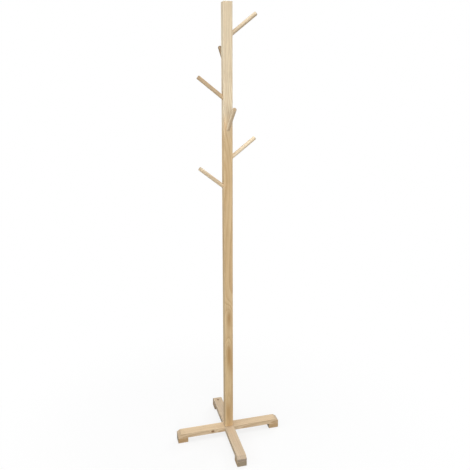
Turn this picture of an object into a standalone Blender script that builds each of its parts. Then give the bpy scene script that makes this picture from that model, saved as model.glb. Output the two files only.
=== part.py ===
"""A standing coat rack: a square post on a cross-lapped base, with round pegs that lean up out of its faces.

Metres, +Z up. The origin is on the floor, under the middle of the base. X runs along the left-right beam
and Y along the front-back beam, with the front towards -Y.
"""

import math

import bmesh
import bpy
from mathutils import Vector

# ---------------------------------------------------------------- driving dimensions (metres, degrees)
OVERALL_HEIGHT = 1.760
BASE_SPAN = 0.450

POST_SIDE = 0.034
POST_ARRIS = 0.0012

BEAM_WIDTH = 0.039
BEAM_THICKNESS = 0.021
BEAM_ARRIS = 0.0010
END_CHAMFER_LENGTH = 0.014
END_CHAMFER_DROP = 0.009

FOOT_DROP = 0.024
FOOT_LENGTH = 0.043
FOOT_ARRIS = 0.0008
PAD_DIAMETER = 0.030
PAD_THICKNESS = 0.002
PAD_ARRIS = 0.0004

PEG_SIDES = ("right", "back", "left", "front", "right", "left")
PEG_DIAMETER = 0.015
PEG_REACH = 0.116
PEG_RISE_DEG = 38.0
PEG_PITCH = 0.110
FIRST_PEG_DROP = 0.106
PEG_SOCKET_DEPTH = 0.025
PEG_ARRIS = 0.0010

BOLT_DIAMETER = 0.008
BOLT_HEAD_DIAMETER = 0.014
BOLT_HEAD_HEIGHT = 0.0044
BOLT_KEY_WIDTH = 0.005
BOLT_KEY_DEPTH = 0.0026
BOLT_HEAD_CROWN_DEG = 15.0
BOLT_HEAD_FLAT_DEG = 70.0
BOLT_HEAD_STEPS = 4
BOLT_POINT_BEVEL = 0.0008
BOLT_PAST_INSERT = 0.006
BOLT_END_SPACE = 0.003
WASHER_DIAMETER = 0.020
WASHER_THICKNESS = 0.0016
INSERT_DIAMETER = 0.012
INSERT_LENGTH = 0.020
INSERT_RECESS = 0.0005

LOCATING_DOWEL_DIAMETER = 0.006
LOCATING_DOWEL_OFFSET = 0.0105
LOCATING_DOWEL_IN_POST = 0.018
WOOD_BELOW_DOWEL = 0.004
DOWEL_ARRIS = 0.0005

SCREW_DIAMETER = 0.004
SCREW_HEAD_DIAMETER = 0.008
SCREW_HEAD_DEPTH = 0.0025
SCREW_TIP_LENGTH = 0.004
SCREW_TIP_DIAMETER = 0.001
SCREW_BITE = 0.013
SCREW_SPACING = 0.018
SCREW_SLOT_WIDTH = 0.0010
SCREW_SLOT_LENGTH = 0.0040
SCREW_SLOT_DEPTH = 0.0012

FIT_GAP = 0.0003
CUTTER_OVERRUN = 0.010

# ---------------------------------------------------------------- places worked out from them
BEAM_TOP = FOOT_DROP + BEAM_THICKNESS
LAP_HEIGHT = FOOT_DROP + BEAM_THICKNESS / 2
POST_BOTTOM = BEAM_TOP + FIT_GAP
FOOT_BLOCK_BOTTOM = PAD_THICKNESS + FIT_GAP
FOOT_BLOCK_HEIGHT = FOOT_DROP - FIT_GAP - FOOT_BLOCK_BOTTOM
FOOT_CENTRE = (BASE_SPAN - FOOT_LENGTH) / 2
SCREW_LENGTH = FOOT_BLOCK_HEIGHT + FIT_GAP + SCREW_BITE
WASHER_BOTTOM = FOOT_DROP - FIT_GAP - WASHER_THICKNESS
BOLT_SEAT = WASHER_BOTTOM - FIT_GAP
INSERT_BOTTOM = POST_BOTTOM + INSERT_RECESS
BOLT_TOP = INSERT_BOTTOM + INSERT_LENGTH + BOLT_PAST_INSERT
DOWEL_BOTTOM = FOOT_DROP + WOOD_BELOW_DOWEL
DOWEL_TOP = POST_BOTTOM + LOCATING_DOWEL_IN_POST

# Each arm or face of the rack by its name, and its turn about +Z from the right-hand side.
SIDE_ANGLES = {"right": 0.0, "back": 90.0, "left": 180.0, "front": 270.0}

PEG_SEGMENTS = 32
ROUND_SEGMENTS = 24
PAD_SEGMENTS = 32
HEX = 6
SMOOTH_ANGLE = math.radians(35)
ARRIS_SEGMENTS = 2
ARRIS_LIMIT = math.radians(20)
MERGE = 0.00001

# Linear colour, roughness and metallic value of each finish.
FINISHES = {
    "post_wood": ((0.62, 0.42, 0.22), 0.55, 0.0),
    "beam_wood": ((0.62, 0.44, 0.27), 0.55, 0.0),
    "foot_wood": ((0.50, 0.31, 0.15), 0.60, 0.0),
    "peg_wood": ((0.64, 0.45, 0.25), 0.50, 0.0),
    "dowel_wood": ((0.66, 0.50, 0.32), 0.65, 0.0),
    "felt": ((0.10, 0.085, 0.07), 0.95, 0.0),
    "zinc_steel": ((0.60, 0.61, 0.63), 0.35, 1.0),
    "brass": ((0.72, 0.53, 0.24), 0.35, 1.0),
}


# ---------------------------------------------------------------- scene, finishes and placing
def clear_scene():
    for obj in list(bpy.data.objects):
        bpy.data.objects.remove(obj, do_unlink=True)


def make_collection(name):
    collection = bpy.data.collections.new(name)
    bpy.context.scene.collection.children.link(collection)
    return collection


def make_finish(name):
    colour, roughness, metallic = FINISHES[name]
    finish = bpy.data.materials.new(name)
    finish.use_nodes = True
    shader = finish.node_tree.nodes["Principled BSDF"]
    shader.inputs["Base Color"].default_value = (*colour, 1.0)
    shader.inputs["Roughness"].default_value = roughness
    shader.inputs["Metallic"].default_value = metallic
    return finish


def make_empty(name, height, side):
    """An empty on the rack's axis, turned so that its +X points out of the named side."""
    empty = bpy.data.objects.new(name, None)
    PARTS.objects.link(empty)
    empty.location = (0.0, 0.0, height)
    empty.rotation_euler = (0.0, 0.0, math.radians(SIDE_ANGLES[side]))
    return empty


def link_mesh(name, shape, collection):
    """A new object that holds the bmesh's shape."""
    mesh = bpy.data.meshes.new(name)
    bmesh.ops.recalc_face_normals(shape, faces=shape.faces)
    shape.to_mesh(mesh)
    shape.free()
    obj = bpy.data.objects.new(name, mesh)
    collection.objects.link(obj)
    return obj


def add_part(name, shape, finish):
    obj = link_mesh(name, shape, PARTS)
    obj.data.materials.append(MATERIALS[finish])
    return obj


def add_cutter(name, shape):
    obj = link_mesh(name, shape, CUTTERS)
    obj.hide_render = True
    obj.display_type = "WIRE"
    return obj


def shade_round(obj):
    obj.data.shade_smooth()
    obj.data.set_sharp_from_angle(angle=SMOOTH_ANGLE)


def place(obj, location, rotation=(0.0, 0.0, 0.0), parent=None):
    obj.location = location
    obj.rotation_euler = rotation
    obj.parent = parent


# ---------------------------------------------------------------- shapes
def box_shape(size_x, size_y, size_z):
    """A box centred on X and Y, standing on Z = 0."""
    shape = bmesh.new()
    bmesh.ops.create_cube(shape, size=1.0)
    bmesh.ops.scale(shape, vec=(size_x, size_y, size_z), verts=shape.verts)
    bmesh.ops.translate(shape, vec=(0.0, 0.0, size_z / 2), verts=shape.verts)
    return shape


def rod_shape(diameter, bottom, top, segments):
    """A cylinder on the Z axis between two heights."""
    shape = bmesh.new()
    bmesh.ops.create_cone(
        shape,
        cap_ends=True,
        segments=segments,
        radius1=diameter / 2,
        radius2=diameter / 2,
        depth=top - bottom,
    )
    bmesh.ops.translate(shape, vec=(0.0, 0.0, (top + bottom) / 2), verts=shape.verts)
    return shape


def saw_off(shape, point, normal):
    """Removes what lies on the normal's side of a plane, and closes the cut."""
    cut = bmesh.ops.bisect_plane(
        shape,
        geom=shape.verts[:] + shape.edges[:] + shape.faces[:],
        plane_co=point,
        plane_no=normal,
        clear_outer=True,
    )
    edges = [item for item in cut["geom_cut"] if isinstance(item, bmesh.types.BMEdge)]
    bmesh.ops.contextual_create(shape, geom=edges)


def break_end_edges(shape, height, width):
    """Chamfers the rim of a rod's end face at this height."""
    rim = [
        edge
        for edge in shape.edges
        if all(math.isclose(vert.co.z, height, abs_tol=MERGE) for vert in edge.verts)
    ]
    bmesh.ops.bevel(shape, geom=rim, offset=width, segments=1, affect="EDGES", profile=0.5)


def turned(name, outline, finish, closed=False):
    """A shape turned about +Z from (radius, height) points that run down its outer side."""
    mesh = bpy.data.meshes.new(name)
    count = len(outline)
    edges = [(i, i + 1) for i in range(count - 1)]
    if closed:
        edges.append((count - 1, 0))
    mesh.from_pydata([(radius, 0.0, height) for radius, height in outline], edges, [])
    obj = bpy.data.objects.new(name, mesh)
    PARTS.objects.link(obj)
    mesh.materials.append(MATERIALS[finish])
    screw = obj.modifiers.new("turn", "SCREW")
    screw.steps = ROUND_SEGMENTS
    screw.render_steps = ROUND_SEGMENTS
    screw.use_merge_vertices = True
    screw.merge_threshold = MERGE
    screw.use_smooth_shade = True
    return obj


def add_arris(obj, width):
    bevel = obj.modifiers.new("arris", "BEVEL")
    bevel.width = width
    bevel.segments = ARRIS_SEGMENTS
    bevel.limit_method = "ANGLE"
    bevel.angle_limit = ARRIS_LIMIT


def cut(target, cutter):
    boolean = target.modifiers.new(cutter.name, "BOOLEAN")
    boolean.operation = "DIFFERENCE"
    boolean.solver = "EXACT"
    boolean.object = cutter


# ---------------------------------------------------------------- base
def beam_shape():
    """A beam along X with its two upper end corners sawn off."""
    shape = box_shape(BASE_SPAN, BEAM_WIDTH, BEAM_THICKNESS)
    for end in (-1, 1):
        chamfer_foot = Vector((end * BASE_SPAN / 2, 0.0, BEAM_THICKNESS - END_CHAMFER_DROP))
        outward = Vector((end * END_CHAMFER_DROP, 0.0, END_CHAMFER_LENGTH))
        saw_off(shape, chamfer_foot, outward)
    return shape


def lap_cutter(name, bottom, top):
    """The room for the other beam where the two cross: across a beam along X."""
    shape = box_shape(BEAM_WIDTH + 2 * FIT_GAP, BEAM_WIDTH + 2 * CUTTER_OVERRUN, top - bottom)
    cutter = add_cutter(name, shape)
    place(cutter, (0.0, 0.0, bottom))
    return cutter


def build_beams():
    left_right = add_part("base_beam_left_right", beam_shape(), "beam_wood")
    place(left_right, (0.0, 0.0, FOOT_DROP))
    add_arris(left_right, BEAM_ARRIS)
    cut(left_right, lap_cutter("lap_above", LAP_HEIGHT - FIT_GAP / 2, BEAM_TOP + CUTTER_OVERRUN))

    front_back = add_part("base_beam_front_back", beam_shape(), "beam_wood")
    place(front_back, (0.0, 0.0, FOOT_DROP), (0.0, 0.0, math.radians(SIDE_ANGLES["back"])))
    add_arris(front_back, BEAM_ARRIS)
    under = lap_cutter("lap_below", FOOT_DROP - CUTTER_OVERRUN, LAP_HEIGHT + FIT_GAP / 2)
    under.rotation_euler = front_back.rotation_euler
    cut(front_back, under)
    return left_right, front_back


def screw_outline(bottom):
    """Half the outline of a countersunk screw that points up, with its head's flat face at this height."""
    tip = bottom + SCREW_LENGTH
    return [
        (0.0, tip),
        (SCREW_TIP_DIAMETER / 2, tip),
        (SCREW_DIAMETER / 2, tip - SCREW_TIP_LENGTH),
        (SCREW_DIAMETER / 2, bottom + SCREW_HEAD_DEPTH),
        (SCREW_HEAD_DIAMETER / 2, bottom),
        (0.0, bottom),
    ]


def screw_hole_shape(bottom):
    """The bore for one foot screw's shank, open below."""
    top = bottom + SCREW_LENGTH + FIT_GAP
    return rod_shape(SCREW_DIAMETER + 2 * FIT_GAP, bottom - CUTTER_OVERRUN, top, ROUND_SEGMENTS)


def countersink_shape(bottom):
    """A cone a little larger than the screw's head, open well below it."""
    slope = (SCREW_HEAD_DIAMETER - SCREW_DIAMETER) / 2 / SCREW_HEAD_DEPTH
    mouth = SCREW_HEAD_DIAMETER / 2 + FIT_GAP + slope * (FIT_GAP + CUTTER_OVERRUN)
    throat = SCREW_DIAMETER / 2 + slope * FIT_GAP
    low = bottom - CUTTER_OVERRUN
    high = bottom + SCREW_HEAD_DEPTH + FIT_GAP
    shape = bmesh.new()
    bmesh.ops.create_cone(
        shape,
        cap_ends=True,
        segments=ROUND_SEGMENTS,
        radius1=mouth,
        radius2=throat,
        depth=high - low,
    )
    bmesh.ops.translate(shape, vec=(0.0, 0.0, (high + low) / 2), verts=shape.verts)
    return shape


def cross_slot_cutters(name, bottom, along, arm):
    """Two crossed bars that sink the driver's cross into a screw's head."""
    bars = []
    for index, angle in enumerate((0.0, math.pi / 2)):
        bar_shape = box_shape(SCREW_SLOT_LENGTH, SCREW_SLOT_WIDTH, SCREW_SLOT_DEPTH + CUTTER_OVERRUN)
        bar = add_cutter(f"{name}_slot_{index}", bar_shape)
        place(bar, (along, 0.0, bottom - CUTTER_OVERRUN), (0.0, 0.0, angle), arm)
        bars.append(bar)
    return bars


def build_foot(side, beam):
    """A block under one beam end, its felt pad, and the two screws that hold it up to the beam."""
    arm = make_empty(f"arm_{side}", 0.0, side)

    block_shape = box_shape(FOOT_LENGTH, BEAM_WIDTH, FOOT_BLOCK_HEIGHT)
    block = add_part(f"foot_block_{side}", block_shape, "foot_wood")
    place(block, (FOOT_CENTRE, 0.0, FOOT_BLOCK_BOTTOM), parent=arm)
    add_arris(block, FOOT_ARRIS)

    pad_shape = rod_shape(PAD_DIAMETER, 0.0, PAD_THICKNESS, PAD_SEGMENTS)
    break_end_edges(pad_shape, PAD_THICKNESS, PAD_ARRIS)
    pad = add_part(f"felt_pad_{side}", pad_shape, "felt")
    place(pad, (FOOT_CENTRE, 0.0, 0.0), parent=arm)
    shade_round(pad)

    for which, step in (("inner", -0.5), ("outer", 0.5)):
        name = f"foot_screw_{side}_{which}"
        along = FOOT_CENTRE + step * SCREW_SPACING
        screw = turned(name, screw_outline(FOOT_BLOCK_BOTTOM), "zinc_steel")
        place(screw, (along, 0.0, 0.0), parent=arm)
        for bar in cross_slot_cutters(name, FOOT_BLOCK_BOTTOM, along, arm):
            cut(screw, bar)

        hole = add_cutter(f"{name}_hole", screw_hole_shape(FOOT_BLOCK_BOTTOM))
        place(hole, (along, 0.0, 0.0), parent=arm)
        cut(block, hole)
        cut(beam, hole)
        sink = add_cutter(f"{name}_countersink", countersink_shape(FOOT_BLOCK_BOTTOM))
        place(sink, (along, 0.0, 0.0), parent=arm)
        cut(block, sink)


# ---------------------------------------------------------------- post and its fixings
def build_post():
    post_shape = box_shape(POST_SIDE, POST_SIDE, OVERALL_HEIGHT - POST_BOTTOM)
    post = add_part("post", post_shape, "post_wood")
    place(post, (0.0, 0.0, POST_BOTTOM))
    add_arris(post, POST_ARRIS)
    return post


def bolt_outline():
    """Half the outline of a button-head bolt that points up, its head's underside on the washer."""
    shank = BOLT_DIAMETER / 2
    head = BOLT_HEAD_DIAMETER / 2
    outline = [
        (0.0, BOLT_TOP),
        (shank - BOLT_POINT_BEVEL, BOLT_TOP),
        (shank, BOLT_TOP - BOLT_POINT_BEVEL),
        (shank, BOLT_SEAT),
        (head, BOLT_SEAT),
    ]
    for step in range(BOLT_HEAD_STEPS + 1):
        turn = (BOLT_HEAD_FLAT_DEG - BOLT_HEAD_CROWN_DEG) * step / BOLT_HEAD_STEPS
        angle = math.radians(BOLT_HEAD_CROWN_DEG + turn)
        outline.append((head * math.cos(angle), BOLT_SEAT - BOLT_HEAD_HEIGHT * math.sin(angle)))
    outline.append((0.0, outline[-1][1]))
    return outline


def build_centre_fixing(post, beams):
    """The bolt, washer and insert that pull the post down, and the two dowels that stop it turning."""
    bolt = turned("centre_bolt", bolt_outline(), "zinc_steel")
    head_bottom = min(height for radius, height in bolt_outline())
    key_shape = rod_shape(BOLT_KEY_WIDTH / math.cos(math.pi / HEX), -CUTTER_OVERRUN, BOLT_KEY_DEPTH, HEX)
    key = add_cutter("bolt_key", key_shape)
    place(key, (0.0, 0.0, head_bottom))
    cut(bolt, key)

    hole = BOLT_DIAMETER / 2 + FIT_GAP
    washer_top = WASHER_BOTTOM + WASHER_THICKNESS
    rim = WASHER_DIAMETER / 2
    turned(
        "centre_washer",
        [(rim, washer_top), (rim, WASHER_BOTTOM), (hole, WASHER_BOTTOM), (hole, washer_top)],
        "zinc_steel",
        closed=True,
    )

    insert_top = INSERT_BOTTOM + INSERT_LENGTH
    wall = INSERT_DIAMETER / 2
    turned(
        "threaded_insert",
        [(wall, insert_top), (wall, INSERT_BOTTOM), (hole, INSERT_BOTTOM), (hole, insert_top)],
        "brass",
        closed=True,
    )

    bore_bottom = FOOT_DROP - CUTTER_OVERRUN
    bolt_bore = add_cutter(
        "bolt_bore",
        rod_shape(BOLT_DIAMETER + 2 * FIT_GAP, bore_bottom, BOLT_TOP + BOLT_END_SPACE, ROUND_SEGMENTS),
    )
    insert_bore = add_cutter(
        "insert_bore",
        rod_shape(INSERT_DIAMETER + 2 * FIT_GAP, bore_bottom, insert_top + FIT_GAP, ROUND_SEGMENTS),
    )
    cut(post, insert_bore)
    cut(post, bolt_bore)
    for beam in beams:
        cut(beam, bolt_bore)

    for letter, way in (("a", -1), ("b", 1)):
        shape = rod_shape(LOCATING_DOWEL_DIAMETER, DOWEL_BOTTOM, DOWEL_TOP, ROUND_SEGMENTS)
        break_end_edges(shape, DOWEL_TOP, DOWEL_ARRIS)
        break_end_edges(shape, DOWEL_BOTTOM, DOWEL_ARRIS)
        dowel = add_part(f"locating_dowel_{letter}", shape, "dowel_wood")
        corner = (way * LOCATING_DOWEL_OFFSET, way * LOCATING_DOWEL_OFFSET, 0.0)
        place(dowel, corner)
        shade_round(dowel)
        bore_shape = rod_shape(
            LOCATING_DOWEL_DIAMETER + 2 * FIT_GAP,
            DOWEL_BOTTOM - FIT_GAP,
            DOWEL_TOP + FIT_GAP,
            ROUND_SEGMENTS,
        )
        bore = add_cutter(f"dowel_bore_{letter}", bore_shape)
        place(bore, corner)
        cut(post, bore)
        for beam in beams:
            cut(beam, bore)


# ---------------------------------------------------------------- pegs
def build_peg(number, side, post):
    """A round peg glued in a slanted bore, rising outwards from one face of the post."""
    height = OVERALL_HEIGHT - FIRST_PEG_DROP - (number - 1) * PEG_PITCH
    face = make_empty(f"peg_seat_{number}", height, side)
    lean = (0.0, math.radians(90.0 - PEG_RISE_DEG), 0.0)

    shape = rod_shape(PEG_DIAMETER, FIT_GAP - PEG_SOCKET_DEPTH, PEG_REACH, PEG_SEGMENTS)
    break_end_edges(shape, PEG_REACH, PEG_ARRIS)
    peg = add_part(f"peg_{number}_{side}", shape, "peg_wood")
    place(peg, (POST_SIDE / 2, 0.0, 0.0), lean, face)
    shade_round(peg)

    bore_top = PEG_DIAMETER + CUTTER_OVERRUN
    bore_shape = rod_shape(PEG_DIAMETER + 2 * FIT_GAP, -PEG_SOCKET_DEPTH, bore_top, PEG_SEGMENTS)
    bore = add_cutter(f"peg_bore_{number}", bore_shape)
    place(bore, (POST_SIDE / 2, 0.0, 0.0), lean, face)
    cut(post, bore)


clear_scene()
PARTS = make_collection("coat_rack")
CUTTERS = make_collection("cutters")
MATERIALS = {name: make_finish(name) for name in FINISHES}

BEAM_LEFT_RIGHT, BEAM_FRONT_BACK = build_beams()
POST = build_post()
build_centre_fixing(POST, (BEAM_LEFT_RIGHT, BEAM_FRONT_BACK))
for side_name in SIDE_ANGLES:
    along_x = side_name in ("left", "right")
    build_foot(side_name, BEAM_LEFT_RIGHT if along_x else BEAM_FRONT_BACK)
for peg_number, peg_side in enumerate(PEG_SIDES, start=1):
    build_peg(peg_number, peg_side, POST)
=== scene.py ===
"""A standing coat rack in pale pine: a square post on a cross-lapped base, with six leaning pegs.

Metres, +Z up, the front towards -Y. Every wooden piece is planed or turned afresh at the size and place of
its solid, so that its arrises are round and its grain runs right through it. The fixings get their threads.
"""

import logging
import math
from collections.abc import Callable, Iterator
from contextlib import contextmanager
from dataclasses import dataclass, field
from enum import Enum

import bmesh
import bpy
from mathutils import Euler, Matrix, Vector


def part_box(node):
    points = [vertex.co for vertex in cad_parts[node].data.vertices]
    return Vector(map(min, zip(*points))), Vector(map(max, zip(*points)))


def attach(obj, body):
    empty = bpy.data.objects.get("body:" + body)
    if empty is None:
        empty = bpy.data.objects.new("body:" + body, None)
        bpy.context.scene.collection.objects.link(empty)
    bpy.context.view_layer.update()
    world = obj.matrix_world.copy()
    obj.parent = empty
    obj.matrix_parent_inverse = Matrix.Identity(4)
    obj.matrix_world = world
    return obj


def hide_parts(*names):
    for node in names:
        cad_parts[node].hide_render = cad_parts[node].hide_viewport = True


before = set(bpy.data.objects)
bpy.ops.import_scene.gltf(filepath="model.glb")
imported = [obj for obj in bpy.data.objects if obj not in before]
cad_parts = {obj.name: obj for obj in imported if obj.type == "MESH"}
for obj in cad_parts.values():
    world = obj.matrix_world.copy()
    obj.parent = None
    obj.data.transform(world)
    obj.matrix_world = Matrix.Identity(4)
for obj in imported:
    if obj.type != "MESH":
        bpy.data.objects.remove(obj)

LOG = logging.getLogger("coat_rack")
BODY = "root"
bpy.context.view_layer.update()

FIT_GAP = 0.0003
TOUCH = 0.00002
RIM_TOUCH = 0.0001
OVERRUN = 0.01
SINK_OVERRUN = 0.002
OVERLAP = 0.0005
CLEAR_OF_BEAMS = 0.07
RUBBED_WIDTH = 0.0016
UP = Vector((0.0, 0.0, 1.0))

PEG_RADIUS = 0.0075
PEG_SOCKET = 0.025
PEG_CUTTER = 0.03
PEG_RISE = 38.0
BOLT_RADIUS = 0.004
INSERT_RADIUS = 0.006
DOWEL_RADIUS = 0.003
DOWEL_OFFSET = 0.0105
SCREW_RADIUS = 0.002
SCREW_HEAD_RADIUS = 0.004
SCREW_HEAD_DEPTH = 0.0025

Point = tuple[float, float, float]
Colour = tuple[float, float, float]
EdgeTest = Callable[[bmesh.types.BMEdge], bool]


def srgb(red: int, green: int, blue: int) -> Colour:
    """Turns a colour given on a 0 to 255 scale into linear light.

    Args:
        red: The red share.
        green: The green share.
        blue: The blue share.

    Returns:
        The same colour in linear light.
    """
    scaled = [channel / 255 for channel in (red, green, blue)]
    linear = [s / 12.92 if s <= 0.04045 else ((s + 0.055) / 1.055) ** 2.4 for s in scaled]
    return (linear[0], linear[1], linear[2])


# ------------------------------------------------------------------------------------- the bench
class Kind(Enum):
    """What a pick in edit mode takes hold of."""

    VERTS = "VERT"
    EDGES = "EDGE"
    FACES = "FACE"


class Cut(Enum):
    """How one shape changes another."""

    AWAY = "DIFFERENCE"
    ON = "UNION"


class Side(Enum):
    """A side of the rack, with its turn about +Z from the right-hand side in degrees."""

    RIGHT = 0.0
    BACK = 90.0
    LEFT = 180.0
    FRONT = 270.0

    @property
    def outward(self) -> Vector:
        """The level direction that this side faces."""
        return Matrix.Rotation(math.radians(self.value), 3, "Z") @ Vector((1.0, 0.0, 0.0))

    @property
    def word(self) -> str:
        """The side's name as the solids spell it."""
        return self.name.lower()

    @property
    def screws(self) -> tuple[str, str]:
        """The two screws that hold this side's foot block."""
        return (f"foot_screw_{self.word}_inner", f"foot_screw_{self.word}_outer")


def deselect_all() -> None:
    """Leaves object mode with nothing selected, so that an operator acts only on what is picked next."""
    if bpy.context.mode != "OBJECT":
        bpy.ops.object.mode_set(mode="OBJECT")
    bpy.ops.object.select_all(action="DESELECT")


def make_active(obj: bpy.types.Object) -> None:
    """Selects one object and no other.

    Args:
        obj: The object that the next operator works on.
    """
    deselect_all()
    obj.select_set(True)
    bpy.context.view_layer.objects.active = obj


def fix_place(obj: bpy.types.Object) -> None:
    """Moves an object's place, turn and scale into its mesh."""
    make_active(obj)
    bpy.ops.object.transform_apply(location=True, rotation=True, scale=True)


@contextmanager
def editing(obj: bpy.types.Object) -> Iterator[None]:
    """Edit mode on one object.

    Args:
        obj: The object to shape.

    Yields:
        Nothing; the object is back in object mode afterwards.
    """
    make_active(obj)
    bpy.ops.object.mode_set(mode="EDIT")
    try:
        yield
    finally:
        bpy.ops.object.mode_set(mode="OBJECT")


def pick(obj: bpy.types.Object, kind: Kind, test: Callable[..., bool]) -> None:
    """Selects exactly the vertices, edges or faces that pass a test, in edit mode.

    Args:
        obj: The object in edit mode.
        kind: Which elements are tried.
        test: Takes one element and says whether it is wanted.
    """
    bpy.ops.mesh.select_mode(type=kind.value)
    bpy.ops.mesh.select_all(action="DESELECT")
    shape = bmesh.from_edit_mesh(obj.data)
    items = {Kind.VERTS: shape.verts, Kind.EDGES: shape.edges, Kind.FACES: shape.faces}[kind]
    for item in [item for item in items if test(item)]:
        item.select_set(True)
    shape.select_flush_mode()
    bmesh.update_edit_mesh(obj.data)


def every_edge(edge: bmesh.types.BMEdge) -> bool:
    """Passes any edge."""
    return edge.is_valid


def is_level(edge: bmesh.types.BMEdge) -> bool:
    """Says whether an edge runs level."""
    return abs(edge.verts[0].co.z - edge.verts[1].co.z) < TOUCH


def ring_at(height: float) -> EdgeTest:
    """A test for the sharp edges that lie at one height."""
    return lambda edge: edge.calc_face_angle(0.0) > 0.5 and all(abs(v.co.z - height) < TOUCH for v in edge.verts)


def round_off(obj: bpy.types.Object, width: float, facets: int, test: EdgeTest) -> None:
    """Rounds the edges that pass a test.

    Args:
        obj: The object.
        width: How far the round reaches onto each face.
        facets: How many facets it has.
        test: Says whether an edge is rounded.
    """
    with editing(obj):
        pick(obj, Kind.EDGES, test)
        bpy.ops.mesh.bevel(offset=width, offset_type="OFFSET", segments=facets, profile=0.5, affect="EDGES")


def start_box(name: str, low: Vector, high: Vector) -> bpy.types.Object:
    """Saws a square blank.

    Args:
        name: The blank's name.
        low: Its lowest corner.
        high: Its highest corner.

    Returns:
        The blank, with its place in its mesh.
    """
    deselect_all()
    bpy.ops.mesh.primitive_cube_add(size=1.0, location=(low + high) / 2)
    obj = bpy.context.active_object
    obj.name = name
    obj.scale = high - low
    fix_place(obj)
    return obj


def start_rod(name: str, radius: float, bottom: float, top: float, sides: int) -> bpy.types.Object:
    """Turns a round blank on the Z axis.

    Args:
        name: The blank's name.
        radius: Its radius.
        bottom: The height of its lower end.
        top: The height of its upper end.
        sides: How many flats make it round.

    Returns:
        The blank, with its place in its mesh.
    """
    deselect_all()
    middle = (0.0, 0.0, (bottom + top) / 2)
    bpy.ops.mesh.primitive_cylinder_add(vertices=sides, radius=radius, depth=top - bottom, location=middle)
    obj = bpy.context.active_object
    obj.name = name
    fix_place(obj)
    return obj


def start_cone(name: str, low_radius: float, high_radius: float, bottom: float, top: float) -> bpy.types.Object:
    """Turns a tapered blank on the Z axis.

    Args:
        name: The blank's name.
        low_radius: Its radius at the lower end.
        high_radius: Its radius at the upper end.
        bottom: The height of its lower end.
        top: The height of its upper end.

    Returns:
        The blank, with its place in its mesh.
    """
    deselect_all()
    middle = (0.0, 0.0, (bottom + top) / 2)
    bpy.ops.mesh.primitive_cone_add(
        vertices=48, radius1=low_radius, radius2=high_radius, depth=top - bottom, location=middle
    )
    obj = bpy.context.active_object
    obj.name = name
    fix_place(obj)
    return obj


def stand_on(obj: bpy.types.Object, matrix: Matrix) -> bpy.types.Object:
    """Carries a shape that was modelled at the origin to its place.

    Args:
        obj: The shape.
        matrix: Where it goes.

    Returns:
        The same object, with the new place in its mesh.
    """
    obj.matrix_world = matrix
    fix_place(obj)
    return obj


def copy_of(pattern: bpy.types.Object, name: str) -> bpy.types.Object:
    """Makes another of a finished shape, with a mesh of its own.

    Args:
        pattern: The shape to repeat.
        name: The copy's name.

    Returns:
        The copy.
    """
    copy = pattern.copy()
    copy.data = pattern.data.copy()
    copy.name = name
    bpy.context.scene.collection.objects.link(copy)
    return copy


def apply_modifier(obj: bpy.types.Object, modifier: bpy.types.Modifier) -> None:
    """Makes one modifier's result the object's own mesh."""
    make_active(obj)
    bpy.ops.object.modifier_apply(modifier=modifier.name)


def combine(obj: bpy.types.Object, other: bpy.types.Object, cut: Cut) -> None:
    """Cuts another shape out of this one or welds it on, and throws the other away.

    Args:
        obj: The shape that stays.
        other: The cutter or the addition.
        cut: Which of the two is done.
    """
    boolean = obj.modifiers.new("combine", "BOOLEAN")
    boolean.operation = cut.value
    boolean.solver = "EXACT"
    boolean.object = other
    apply_modifier(obj, boolean)
    bpy.data.objects.remove(other, do_unlink=True)


def bore(
    obj: bpy.types.Object, radius: float, bottom: float, top: float, sides: int, x: float = 0.0, y: float = 0.0
) -> None:
    """Bores an upright hole, a fit's gap wider than what goes in it.

    Args:
        obj: The shape to bore.
        radius: The radius of what goes in.
        bottom: The height where the cutter starts.
        top: The height where it ends.
        sides: How many flats make it round.
        x: Where its axis stands along X.
        y: Where its axis stands along Y.
    """
    cutter = start_rod("bore", radius + FIT_GAP, bottom, top, sides)
    combine(obj, stand_on(cutter, Matrix.Translation((x, y, 0.0))), Cut.AWAY)


def bore_dowels(obj: bpy.types.Object, bottom: float, top: float) -> None:
    """Bores for the two dowels, which stand on a diagonal, one on either side of the bolt."""
    for offset in (-DOWEL_OFFSET, DOWEL_OFFSET):
        bore(obj, DOWEL_RADIUS, bottom, top, 32, offset, offset)


def bisect_off(obj: bpy.types.Object, point: Vector, normal: Vector) -> None:
    """Saws off all that lies on the normal's side of a plane, and closes the cut.

    Args:
        obj: The blank.
        point: A point on the saw's plane.
        normal: The direction of the waste.
    """
    with editing(obj):
        bpy.ops.mesh.select_all(action="SELECT")
        bpy.ops.mesh.bisect(plane_co=point, plane_no=normal, use_fill=True, clear_outer=True)


def smooth_faces(obj: bpy.types.Object, degrees: float = 40.0) -> None:
    """Shades the rounds smooth, keeps true edges crisp, and holds wide flats flat.

    Args:
        obj: The object to shade.
        degrees: The sharpest turn that still looks round.
    """
    make_active(obj)
    bpy.ops.object.shade_smooth_by_angle(angle=math.radians(degrees))
    weighted = obj.modifiers.new("flats", "WEIGHTED_NORMAL")
    weighted.mode = "FACE_AREA"
    weighted.weight = 100
    weighted.keep_sharp = True
    apply_modifier(obj, weighted)


def install(obj: bpy.types.Object, node: str, finish: bpy.types.Material) -> None:
    """Dresses a piece, puts it on the rack in place of its plain solid, and reports it.

    Args:
        obj: The finished shape.
        node: The solid that it stands for.
        finish: The material that it shows.
    """
    obj.data.materials.clear()
    obj.data.materials.append(finish)
    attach(obj, BODY)
    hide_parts(node)
    LOG.info("%s: %d faces, stands for %s", obj.name, len(obj.data.polygons), node)


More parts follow.
